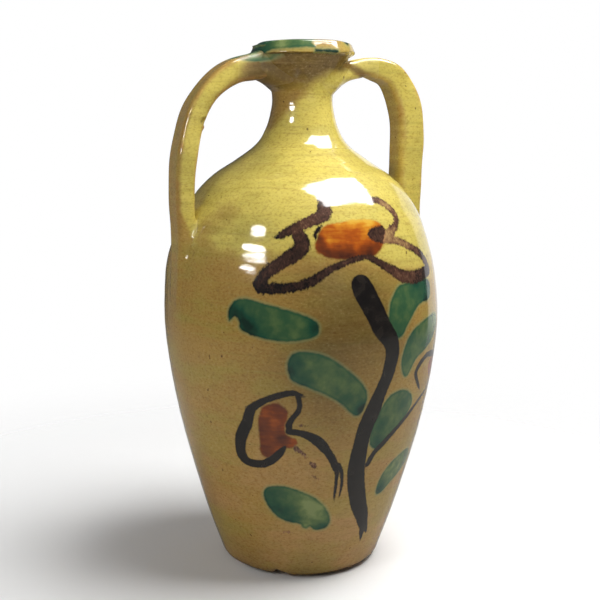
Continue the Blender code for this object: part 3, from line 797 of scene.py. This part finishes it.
def neck_plug(low, high, draw_in):
    """Points and faces of the neck's outer skin between two heights, drawn in a little and closed."""
    azimuths = np.arange(120) * 3.0 - 180.0
    turn = np.radians(azimuths)
    rows = []
    for height in np.linspace(low, high, 30):
        radius = wall_radius(azimuths, np.full(120, height)) - draw_in
        rows.append(np.stack([radius * np.sin(turn), -radius * np.cos(turn), np.full(120, height)], -1))
    faces = ring_faces(30, 120, closed=False)
    faces += [list(range(120))[::-1], [29 * 120 + i for i in range(120)]]
    return np.concatenate(rows), faces


def root_block(stations, azimuth):
    """Points and faces of a block that widens from a strap to the full neck, from stations like a strap's."""
    _, line, _ = strap_frame(stations)
    turn = np.linspace(0.0, 2 * np.pi, 48, endpoint=False)
    squareness = np.where(np.cos(turn) < 0.0, 1.0, 0.5)  # square above, round below
    upward = line[:, 2:3] / 2 * power(np.cos(turn), squareness)[None, :]
    sideways = line[:, 3:4] / 2 * power(np.sin(turn), squareness)[None, :]
    local = np.stack([line[:, :1] + 0 * upward, sideways, line[:, 1:2] + upward], -1)
    faces = [face[::-1] for face in ring_faces(len(line), 48, closed=False)]
    faces += [list(range(48)), [(len(line) - 1) * 48 + i for i in range(48)][::-1]]
    return local.reshape(-1, 3) @ turned_to(azimuth), faces


def melted(name, solids, voxel, rounds):
    """One closed mesh from overlapping solids, with its inner corners filled by smoothing."""
    points, faces, count = [], [], 0
    for solid_points, solid_faces in solids:
        points.append(solid_points)
        faces += [[count + i for i in face] for face in solid_faces]
        count += len(solid_points)
    piece = add_piece(name, np.concatenate(points), faces)
    merge = piece.modifiers.new("merge", "REMESH")
    merge.mode = "VOXEL"
    merge.voxel_size = voxel * MM
    soften = piece.modifiers.new("soften", "SMOOTH")
    soften.factor = 0.5
    soften.iterations = rounds
    bake_modifiers(piece)
    return piece


def bake_modifiers(piece):
    bpy.context.view_layer.update()
    evaluated = piece.evaluated_get(bpy.context.evaluated_depsgraph_get())
    baked = bpy.data.meshes.new_from_object(evaluated)
    piece.modifiers.clear()
    piece.data = baked
    baked.shade_smooth()


def wad_piece(name, node, azimuth, stations, finish):
    """Clay pressed into the corner between a strap and the neck: a block melted together with the neck's skin."""
    solids = [neck_plug(327.0, LIP_UNDERSIDE - 0.4, 0.35), root_block(stations, azimuth)]
    piece = melted(name, solids, 0.8, 36)
    trim_to_pot(piece)
    drop_loose_parts(piece)
    points = piece_points(piece)
    # The joint's painted shade takes over from the wall's tone away from the neck's surface.
    joint_shade_tan, joint_shade, wall_tan, wall_stain_and_shade = joint_shade_tone(points)
    blend = np.clip(pot_gap(points)[0] / 6.0, 0.0, 1.0)
    tone = wall_tan + (joint_shade_tan - wall_tan) * blend, wall_stain_and_shade + (joint_shade - wall_stain_and_shade) * blend
    return dress(piece, node, finish, tone=tone, dull=crease_dull(points))


def drop_loose_parts(piece):
    """Keeps only the largest connected part of a mesh."""
    import bmesh

    mesh = bmesh.new()
    mesh.from_mesh(piece.data)
    left = set(mesh.verts)
    parts = []
    while left:
        part, edge = set(), [left.pop()]
        while edge:
            vertex = edge.pop()
            part.add(vertex)
            for link in vertex.link_edges:
                other = link.other_vert(vertex)
                if other in left:
                    left.remove(other)
                    edge.append(other)
        parts.append(part)
    parts.sort(key=len)
    for part in parts[:-1]:
        bmesh.ops.delete(mesh, geom=list(part), context="VERTS")
    mesh.to_mesh(piece.data)
    mesh.free()


# Each wad's block as (distance from the axis, middle height, thickness, width), from inside the neck outwards.
LEFT_WAD = [
    (6.0, 355.0, 26.0, 46.0), (16.0, 355.4, 25.0, 45.0), (22.0, 357.0, 22.4, 39.0), (28.0, 358.8, 18.8, 31.0),
    (34.0, 360.0, 15.8, 26.0), (41.0, 361.0, 13.6, 22.0), (48.0, 361.0, 12.0, 19.0),
]
RIGHT_WAD = [
    (6.0, 353.4, 26.0, 46.0), (16.0, 353.6, 26.0, 45.0), (22.0, 355.0, 20.6, 38.0), (28.0, 357.4, 15.2, 29.0),
    (35.0, 358.8, 9.6, 23.6), (42.0, 359.2, 6.4, 20.6), (48.0, 359.6, 5.0, 17.0),
]


# --- Materials -------------------------------------------------------------------------------------------------


class Shader:
    """Makes a material's nodes. A wavelength is in millimetres."""

    def __init__(self, name):
        self.material = bpy.data.materials.new(name)
        self.material.use_nodes = True
        self.tree = self.material.node_tree
        self.surface = self.tree.nodes["Principled BSDF"]
        self.place = self.tree.nodes.new("ShaderNodeTexCoord").outputs["Object"]

    def node(self, kind, **settings):
        made = self.tree.nodes.new("ShaderNode" + kind)
        for key, value in settings.items():
            setattr(made, key, value)
        return made

    def feed(self, socket, value):
        if isinstance(value, bpy.types.NodeSocket):
            self.tree.links.new(value, socket)
        elif isinstance(value, tuple) and len(value) == 3 and socket.type == "RGBA":
            socket.default_value = (*value, 1.0)
        else:
            socket.default_value = value

    def attribute(self, name):
        return self.node("Attribute", attribute_name=name).outputs["Fac"]

    def maths(self, operation, *values, clamp=False):
        made = self.node("Math", operation=operation, use_clamp=clamp)
        for socket, value in zip(made.inputs, values):
            self.feed(socket, value)
        return made.outputs[0]

    def ramp(self, value, low, high, to_low=0.0, to_high=1.0, smooth=True):
        """Runs from one number to another as the value goes from low to high."""
        made = self.node("MapRange", interpolation_type="SMOOTHSTEP" if smooth else "LINEAR")
        for socket, number in zip(made.inputs, (value, low, high, to_low, to_high)):
            self.feed(socket, number)
        return made.outputs[0]

    def noise(self, wavelength, detail=2.0, stretch=(1.0, 1.0, 1.0), roughness=0.5, shift=0.0):
        """Noise between 0 and 1, its features about a wavelength across and stretched along X, Y and Z."""
        mapping = self.node("Mapping")
        self.feed(mapping.inputs["Vector"], self.place)
        self.feed(mapping.inputs["Location"], (shift, shift, shift))
        self.feed(mapping.inputs["Scale"], tuple(1.0 / s for s in stretch))
        made = self.node("TexNoise")
        self.feed(made.inputs["Vector"], mapping.outputs[0])
        self.feed(made.inputs["Scale"], 1.0 / (wavelength * MM))
        self.feed(made.inputs["Detail"], detail)
        self.feed(made.inputs["Roughness"], roughness)
        return made.outputs[0]

    def blend(self, share, first, second, mode="MIX"):
        made = self.node("Mix", data_type="RGBA", blend_type=mode)
        self.feed(made.inputs[0], share)
        self.feed(made.inputs[6], first)
        self.feed(made.inputs[7], second)
        return made.outputs[2]

    def stops(self, value, *colours):
        """Colour that passes through (place, colour) stops."""
        made = self.node("ValToRGB")
        elements = made.color_ramp.elements
        while len(elements) < len(colours):
            elements.new(0.5)
        for element, (place, colour) in zip(elements, colours):
            element.position = place
            element.color = (*colour, 1.0)
        self.feed(made.inputs[0], value)
        return made.outputs["Color"]

    def bump(self, height, depth, strength=1.0, under=None):
        """Bump of this depth in millimetres."""
        made = self.node("Bump")
        self.feed(made.inputs["Strength"], strength)
        self.feed(made.inputs["Distance"], depth * MM)
        self.feed(made.inputs["Height"], height)
        if under is not None:
            self.feed(made.inputs["Normal"], under)
        return made.outputs[0]


def glaze_ground(shader):
    """The unpainted glaze: olive yellow where it is thick, tan where it runs thinner and as painted shade, streaked,
    clouded, and darkened by stains and by painted shade.
    """
    streak = shader.noise(24, 3, stretch=(3.5, 3.5, 0.22), shift=0.31)
    cloud = shader.noise(16, 4, roughness=0.6, shift=0.77)
    drift = shader.maths("ADD", shader.maths("MULTIPLY_ADD", streak, 0.9, -0.45),
                         shader.maths("MULTIPLY_ADD", cloud, 0.8, -0.4))
    tan = shader.maths("ADD", shader.attribute("tan"), shader.maths("MULTIPLY", drift, 0.75))
    yellow = shader.blend(cloud, (0.54, 0.420, 0.075), (0.66, 0.560, 0.135))
    brown = shader.blend(cloud, (0.33, 0.190, 0.045), (0.46, 0.295, 0.070))
    ground = shader.blend(shader.ramp(tan, 0.18, 0.85), yellow, brown)
    olive = shader.ramp(streak, 0.52, 0.72, 0.0, 0.30)
    ground = shader.blend(olive, ground, (0.40, 0.36, 0.070))
    height = shader.node("SeparateXYZ")
    shader.feed(height.inputs[0], shader.place)
    low = shader.ramp(height.outputs[2], 0.17, 0.03, 0.0, 1.0)
    warm = shader.ramp(shader.noise(38, 3, stretch=(1.3, 1.3, 0.8), shift=0.19), 0.38, 0.62, 0.15, 0.85)
    ground = shader.blend(shader.maths("MULTIPLY", low, warm), ground, (0.46, 0.265, 0.095))
    green = shader.ramp(shader.noise(30, 3, stretch=(1.5, 1.5, 0.7), shift=0.63), 0.46, 0.66, 0.0, 0.45)
    ground = shader.blend(green, ground, (0.37, 0.31, 0.062))
    # Stains and painted shade both darken the glaze towards this dark brown.
    stain_and_shade = shader.maths("ADD", shader.attribute("stain_and_shade"), shader.maths("MULTIPLY", drift, 0.35))
    return shader.blend(shader.ramp(stain_and_shade, 0.0, 1.0, 0.0, 0.95, smooth=False), ground, (0.108, 0.064, 0.014))


def grain(shader, colour):
    """Sandy clay showing through: fine light and dark grains, and a few iron specks."""
    sand = shader.noise(1.7, 4, stretch=(1.3, 1.3, 0.8), roughness=0.65)
    colour = shader.blend(shader.ramp(sand, 0.30, 0.54, 0.60, 0.0), colour, (0.58, 0.48, 0.38), "MULTIPLY")
    colour = shader.blend(shader.ramp(sand, 0.55, 0.75, 0.0, 0.20), colour, (0.66, 0.55, 0.24), "MIX")
    soot = shader.noise(4.0, 5, stretch=(1.1, 1.1, 0.9), roughness=0.7, shift=0.41)
    on_tan = shader.ramp(shader.attribute("tan"), 0.0, 0.8, 0.5, 1.0)
    colour = shader.blend(shader.maths("MULTIPLY", shader.ramp(soot, 0.50, 0.72, 0.0, 0.42), on_tan), colour, (0.25, 0.165, 0.050), "MIX")
    drag = shader.noise(6.5, 4, stretch=(5.0, 5.0, 0.30), roughness=0.6, shift=0.87)
    colour = shader.blend(shader.ramp(drag, 0.50, 0.74, 0.0, 0.30), colour, (0.30, 0.200, 0.055), "MIX")
    speck = shader.noise(5.2, 1, shift=0.13)
    colour = shader.blend(shader.ramp(speck, 0.765, 0.80, 0.0, 0.75), colour, (0.06, 0.022, 0.010), "MIX")
    return colour


def mark(shader, name, wobble, fine, soft=0.45, stretch=(1.0, 1.0, 1.0)):
    """How fully a painted mark covers each place: its edge wobbles by this much, in millimetres."""
    gap = shader.attribute(name)
    ragged = shader.maths("MULTIPLY_ADD", shader.noise(fine, 3, stretch, roughness=0.6), wobble * 2, -wobble)
    return shader.ramp(shader.maths("ADD", gap, ragged), soft, -soft)


def painted(shader, ground):
    """Centres, leaves, flower and lines, laid over the ground in the order that they were brushed."""
    wash = shader.noise(7.0, 3, shift=0.21)
    unevenness = shader.maths("SUBTRACT", wash, 0.5)
    brushed = shader.maths("SUBTRACT", shader.noise(5.0, 3, stretch=(3.0, 3.0, 0.5), shift=0.57), 0.5)
    centre = shader.stops(
        shader.maths("ADD", shader.attribute("centre_load"),
                     shader.maths("MULTIPLY", shader.maths("ADD", unevenness, brushed), 0.55)),
        (0.0, (0.62, 0.36, 0.035)), (0.20, (0.55, 0.20, 0.008)), (0.42, (0.36, 0.072, 0.003)),
        (0.65, (0.18, 0.036, 0.004)), (1.0, (0.060, 0.014, 0.005)))
    colour = shader.blend(mark(shader, "centre", 1.6, 6.0, 1.1), ground, centre)
    leaf_load = shader.maths("MULTIPLY_ADD", unevenness, 0.65, shader.attribute("leaf_load"))
    rim = shader.ramp(shader.attribute("leaf"), -2.4, -0.4, 0.0, 0.16)
    leaf = shader.stops(
        shader.maths("ADD", leaf_load, rim),
        (0.0, (0.21, 0.27, 0.095)), (0.20, (0.098, 0.162, 0.054)), (0.42, (0.038, 0.103, 0.042)),
        (0.70, (0.010, 0.068, 0.036)), (1.0, (0.004, 0.026, 0.016)))
    halo = shader.ramp(shader.attribute("leaf"), 2.6, -0.2, 0.0, 0.45)
    colour = shader.blend(halo, colour, (0.22, 0.30, 0.13))
    colour = shader.blend(mark(shader, "leaf", 0.9, 4.0, 0.9), colour, leaf)
    bristle = shader.maths("SUBTRACT", shader.noise(1.6, 3, stretch=(0.8, 0.8, 1.6), roughness=0.7, shift=0.9), 0.5)
    flower_load = shader.maths("ADD", shader.attribute("flower_load"),
                               shader.maths("MULTIPLY_ADD", unevenness, 0.7, shader.maths("MULTIPLY", bristle, 0.9)))
    flower_load = shader.maths("ADD", flower_load, shader.ramp(shader.attribute("flower"), -2.6, 0.4, -0.02, 0.14))
    flower = shader.stops(
        flower_load,
        (0.0, (0.38, 0.215, 0.115)), (0.28, (0.21, 0.098, 0.056)), (0.50, (0.092, 0.040, 0.024)),
        (0.75, (0.036, 0.017, 0.011)), (1.0, (0.010, 0.006, 0.005)))
    cover = shader.maths("MULTIPLY", mark(shader, "flower", 2.2, 2.0, 0.8, (0.8, 0.8, 1.6)),
                         shader.ramp(flower_load, 0.0, 0.5, 0.7, 1.0))
    colour = shader.blend(cover, colour, flower)
    line = shader.blend(shader.ramp(wash, 0.4, 0.7), (0.007, 0.0055, 0.005), (0.018, 0.014, 0.011))
    return shader.blend(mark(shader, "line", 0.6, 2.6, 0.5), colour, line)


def glazed(name):
    """Glossy lead-type glaze over painted slip, with bare terracotta wherever the piece says so."""
    shader = Shader(name)
    colour = painted(shader, grain(shader, glaze_ground(shader)))
    edge = shader.attribute("edge")
    colour = shader.blend(shader.maths("MULTIPLY", edge, shader.ramp(shader.noise(9, 3), 0.35, 0.7, 0.15, 0.65)),
                          colour, (0.36, 0.17, 0.055))
    clay = shader.blend(shader.noise(2.2, 5, roughness=0.7), (0.36, 0.16, 0.085), (0.52, 0.27, 0.15))
    bare = shader.ramp(shader.maths("MULTIPLY_ADD", shader.noise(3.0, 3), 0.6,
                                    shader.maths("SUBTRACT", shader.attribute("bare"), 0.3)), 0.35, 0.65)
    shader.feed(shader.surface.inputs["Base Color"], shader.blend(bare, colour, clay))
    gloss = shader.ramp(shader.noise(12, 3), 0.3, 0.7, 0.04, 0.10)
    dull = shader.maths("MAXIMUM", shader.maths("MULTIPLY", bare, 0.8),
                        shader.maths("MAXIMUM", shader.attribute("dull"),
                                     shader.maths("MULTIPLY", shader.attribute("stain_and_shade"), 0.2)))
    roughness = shader.maths("MAXIMUM", gloss, dull)
    shader.feed(shader.surface.inputs["Roughness"], roughness)
    shader.surface.inputs["IOR"].default_value = 1.55
    shader.feed(shader.surface.inputs["Coat Weight"], shader.ramp(bare, 0.0, 1.0, 0.12, 0.0))
    shader.surface.inputs["Coat Roughness"].default_value = 0.45
    peel = shader.bump(shader.noise(6.0, 2), 0.10, 0.5)
    fine = shader.bump(shader.noise(1.1, 2), 0.025, 0.5, peel)
    rough_clay = shader.maths("MULTIPLY", bare, shader.noise(1.4, 5, roughness=0.75))
    shader.feed(shader.surface.inputs["Normal"], shader.bump(rough_clay, 0.5, 0.6, fine))
    return shader.material


def pale_floor():
    """Matt off-white, faintly mottled, that becomes see-through towards the floor's edge."""
    shader = Shader("pale_floor")
    tone = shader.noise(180, 2)
    pale = shader.blend(tone, (0.88, 0.88, 0.87), (0.84, 0.84, 0.83))
    seen = shader.node("LightPath").outputs["Is Camera Ray"]
    mirrored = shader.node("LightPath").outputs["Is Glossy Ray"]
    lit = shader.blend(mirrored, (0.72, 0.70, 0.67), (0.36, 0.35, 0.33))
    shader.feed(shader.surface.inputs["Base Color"], shader.blend(seen, lit, pale))
    shader.surface.inputs["Roughness"].default_value = 0.9
    shader.surface.inputs["Specular IOR Level"].default_value = 0.1
    reach = shader.node("VectorMath", operation="LENGTH")
    shader.feed(reach.inputs[0], shader.place)
    near = shader.ramp(reach.outputs["Value"], 0.10, 0.60, 1.0, 0.0)
    wide = shader.ramp(reach.outputs["Value"], 0.3, FLOOR_RADIUS, 1.0, 0.0)
    gap = shader.maths("MULTIPLY", seen, shader.maths("SUBTRACT", near, wide))
    shader.feed(shader.surface.inputs["Alpha"], shader.maths("ADD", wide, gap))
    return shader.material


# --- Camera, floor and lights ----------------------------------------------------------------------------------

CAMERA_DISTANCE = 722.0
CAMERA_HEIGHT = 311.0
CAMERA_PITCH = 9.23
CAMERA_ROLL = 0.38
FOCAL_LENGTH = 58.8

FLOOR_RADIUS = 1.5
FLOOR_LIGHT = (0.10, 0.09, 0.08)
ROOM_LIGHT = (0.08, 0.08, 0.085)


def direction(azimuth, elevation):
    """Unit vector towards this azimuth, seen from the front's camera azimuth, and elevation."""
    a, e = math.radians(azimuth + FRONT), math.radians(elevation)
    return Vector((math.sin(a) * math.cos(e), -math.cos(a) * math.cos(e), math.sin(e)))


def add_camera():
    data = bpy.data.cameras.new("camera")
    data.lens = FOCAL_LENGTH
    data.sensor_width = 36.0
    data.shift_x = -1.3 / 600
    camera = bpy.data.objects.new("camera", data)
    bpy.context.scene.collection.objects.link(camera)
    camera.location = direction(0, 0) * CAMERA_DISTANCE * MM + Vector((0, 0, CAMERA_HEIGHT * MM))
    facing = Euler((math.radians(90.0 - CAMERA_PITCH), 0.0, math.radians(FRONT)))
    roll = Euler((0.0, 0.0, math.radians(CAMERA_ROLL)))
    camera.rotation_euler = (facing.to_matrix() @ roll.to_matrix()).to_euler()
    bpy.context.scene.camera = camera


def add_panel(name, azimuth, elevation, distance, size, power, target=(0.0, 0.0, 0.25), roll=0.0):
    """A rectangular soft light, facing its target and rolled about its own axis."""
    data = bpy.data.lights.new(name, "AREA")
    data.shape = "RECTANGLE"
    data.size, data.size_y = size
    data.energy = power
    light = bpy.data.objects.new(name, data)
    bpy.context.scene.collection.objects.link(light)
    towards = direction(azimuth, elevation)
    light.location = Vector(target) + towards * distance
    turned = towards.to_track_quat("Z", "Y").to_matrix() @ Euler((0.0, 0.0, math.radians(roll))).to_matrix()
    light.rotation_euler = turned.to_euler()
    return light


def add_lights():
    """Soft panels that light the jar, and bright ones that are only seen mirrored in its glaze."""
    shoulder = (0.0, -0.03, 0.28)
    add_panel("overhead", 92, 62, 1.0, (0.75, 0.70), 19.0, shoulder).visible_glossy = False
    add_panel("window", 84, 65.5, 0.9, (0.74, 0.52), 25.0, shoulder, roll=-37).visible_diffuse = False
    add_panel("right_wall", 150, 0, 1.5, (1.3, 1.3), 4.6)
    add_panel("left_wall", -128, 0, 1.5, (0.8, 1.3), 0.35)
    add_panel("left_fill", -90, 6, 1.6, (1.0, 1.2), 4.7).visible_glossy = False
    neck_fill = add_panel("neck_fill", 24, 0, 0.55, (0.2, 0.12), 0.10, (0.0, 0.0, 0.345))
    neck_fill.visible_glossy = False
    neck_fill.data.spread = math.radians(42)
    add_panel("lamp_glow", -45, 26, 1.4, (0.4, 0.4), 4.8, (0.0, 0.0, 0.24)).visible_glossy = False
    for azimuth, elevation, width, height in ((-43.0, 32.0, 0.30, 0.13), (-42.5, 23.6, 0.50, 0.10),
                                              (-45.0, 15.8, 0.34, 0.08)):
        power = 75.0 * width * height
        lamp = add_panel(f"lamp_{elevation:.0f}", azimuth, elevation, 1.4, (width, height), power, (0.0, 0.0, 0.24))
        lamp.data.shape = "ELLIPSE"
        lamp.visible_diffuse = False


def add_world():
    """Dim room light, stronger from the floor's side than from above. The camera sees it as plain white."""
    world = bpy.data.worlds.new("studio")
    bpy.context.scene.world = world
    world.use_nodes = True
    tree = world.node_tree
    background = tree.nodes["Background"]
    place = tree.nodes.new("ShaderNodeTexCoord")
    height = tree.nodes.new("ShaderNodeSeparateXYZ")
    room = tree.nodes.new("ShaderNodeValToRGB")
    room.color_ramp.elements[0].position = 0.25
    room.color_ramp.elements[0].color = (*FLOOR_LIGHT, 1.0)
    room.color_ramp.elements[1].position = 0.60
    room.color_ramp.elements[1].color = (*ROOM_LIGHT, 1.0)
    share = tree.nodes.new("ShaderNodeMapRange")
    share.inputs["From Min"].default_value = -1.0
    path = tree.nodes.new("ShaderNodeLightPath")
    seen = tree.nodes.new("ShaderNodeMix")
    seen.data_type = "RGBA"
    seen.inputs[7].default_value = (1.0, 1.0, 1.0, 1.0)
    tree.links.new(place.outputs["Generated"], height.inputs[0])
    tree.links.new(height.outputs["Z"], share.inputs["Value"])
    tree.links.new(share.outputs[0], room.inputs[0])
    tree.links.new(path.outputs["Is Camera Ray"], seen.inputs[0])
    tree.links.new(room.outputs["Color"], seen.inputs[6])
    tree.links.new(seen.outputs[2], background.inputs["Color"])


def add_floor():
    """A pale round floor that thins out into the white room."""
    steps = 64
    ring = [(FLOOR_RADIUS * math.cos(2 * math.pi * i / steps), FLOOR_RADIUS * math.sin(2 * math.pi * i / steps), 0.0)
            for i in range(steps)]
    mesh = bpy.data.meshes.new("floor")
    mesh.from_pydata(ring, [], [tuple(range(steps))])
    floor = bpy.data.objects.new("floor", mesh)
    bpy.context.scene.collection.objects.link(floor)
    mesh.materials.append(pale_floor())


# --- Assembly --------------------------------------------------------------------------------------------------

glaze = glazed("honey_glaze")
base_piece(glaze)
wall_piece("lower_wall", "lower_body", BASE_THICKNESS, BELLY_SEAM, 480, 1.3, glaze)
wall_piece("upper_wall", "upper_body", BELLY_SEAM, NECK_SEAM, 480, 1.3, glaze)
wall_piece("neck_wall", "neck", NECK_SEAM, LIP_UNDERSIDE, 240, 0.9, glaze)
lip_piece(glaze)
strap_piece("left_strap", "handle_left", LEFT_STRAP, LEFT_AZIMUTH, (9.0, 3.5), glaze, 1.0,
            chips=[((80.6, 10.4, 323.4), (2.4, 3.0, 2.4), 1.8), ((79.6, 10.4, 318.8), (2.0, 3.0, 2.4), -1.5)],
            green=handle_green)
strap_piece("right_strap", "handle_right", RIGHT_STRAP, RIGHT_AZIMUTH, (6.0, 3.0), glaze, -1.0)
wad_piece("left_wad", "neck_wad_left", LEFT_AZIMUTH, LEFT_WAD, glaze)
wad_piece("right_wad", "neck_wad_right", RIGHT_AZIMUTH, RIGHT_WAD, glaze)

add_camera()
add_lights()
add_world()
add_floor()
bpy.context.scene.view_settings.view_transform = "Standard"
